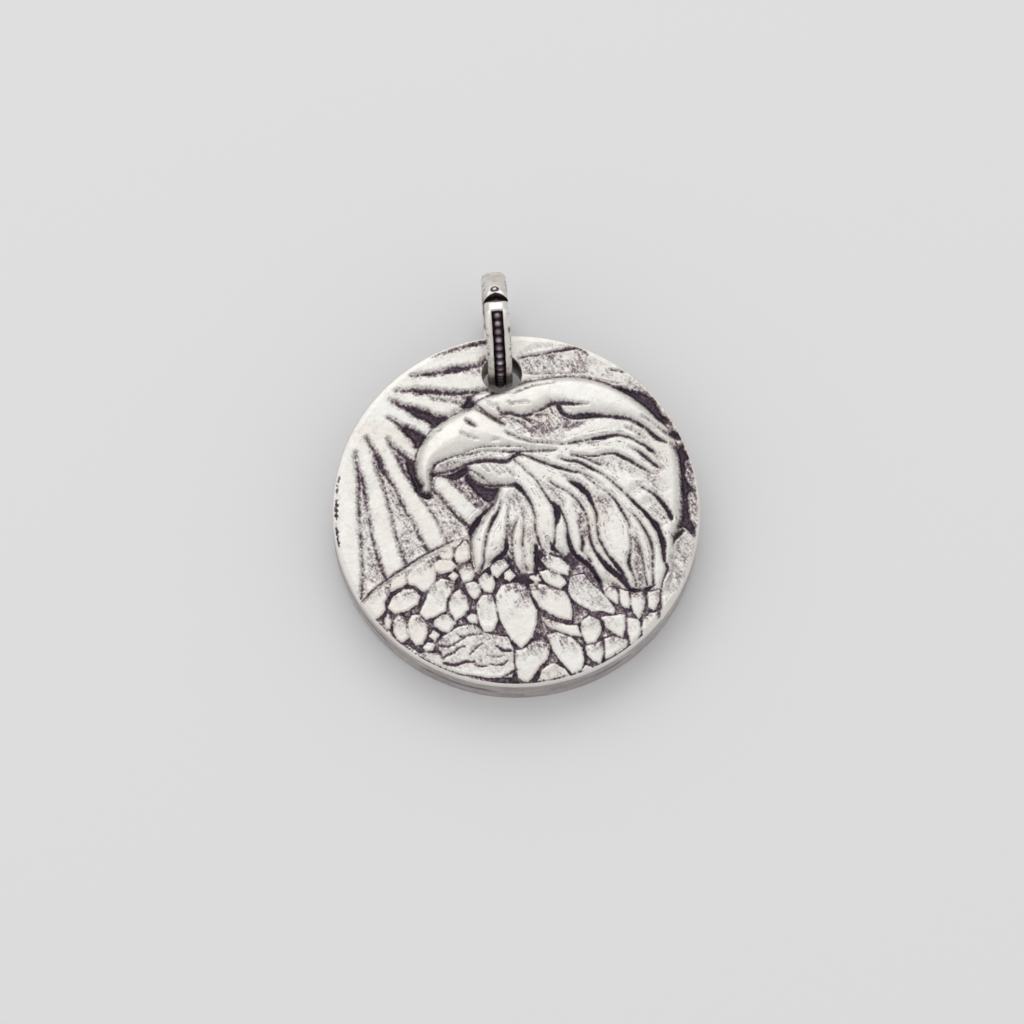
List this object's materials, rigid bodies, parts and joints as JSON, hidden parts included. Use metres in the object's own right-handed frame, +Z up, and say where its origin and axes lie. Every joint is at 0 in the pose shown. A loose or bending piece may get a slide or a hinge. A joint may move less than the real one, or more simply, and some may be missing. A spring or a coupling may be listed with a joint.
{
  "type": "eagle medallion pendant",
  "caption": "Small thick round antique-silver medallion with an eagle head in relief, hung through a hole on a split ring bail with a beaded channel.",
  "frame": {"origin": "on the surface that the medallion lies on, under the middle of its box", "axes": "+Z up, +Y from the disc towards the ring bail, +X to the right as the eagle is seen from above, which faces -X"},
  "size_m": [0.02, 0.0238, 0.0064],
  "materials": {
    "medallion_silver": "antique silver: soft-polished highs, blue-black oxide in the recesses",
    "bail_silver": "soft-polished silver with dark oxide in the channel and the seam",
    "bead_silver": "oxidised silver beads with polished tops"
  },
  "bodies": {
    "disc": {"medallion": "medallion_silver"},
    "bail": {"bail_ring": "bail_silver", "bead_wire": "bead_silver"}
  },
  "joints": [
    {"name": "bail_swing", "type": "hinge", "parent": "disc", "child": "bail", "pos_m": [0, 0.0081, 0.00275], "axis": [1, 0, 0], "range_deg": [-112, 44]}
  ]
}
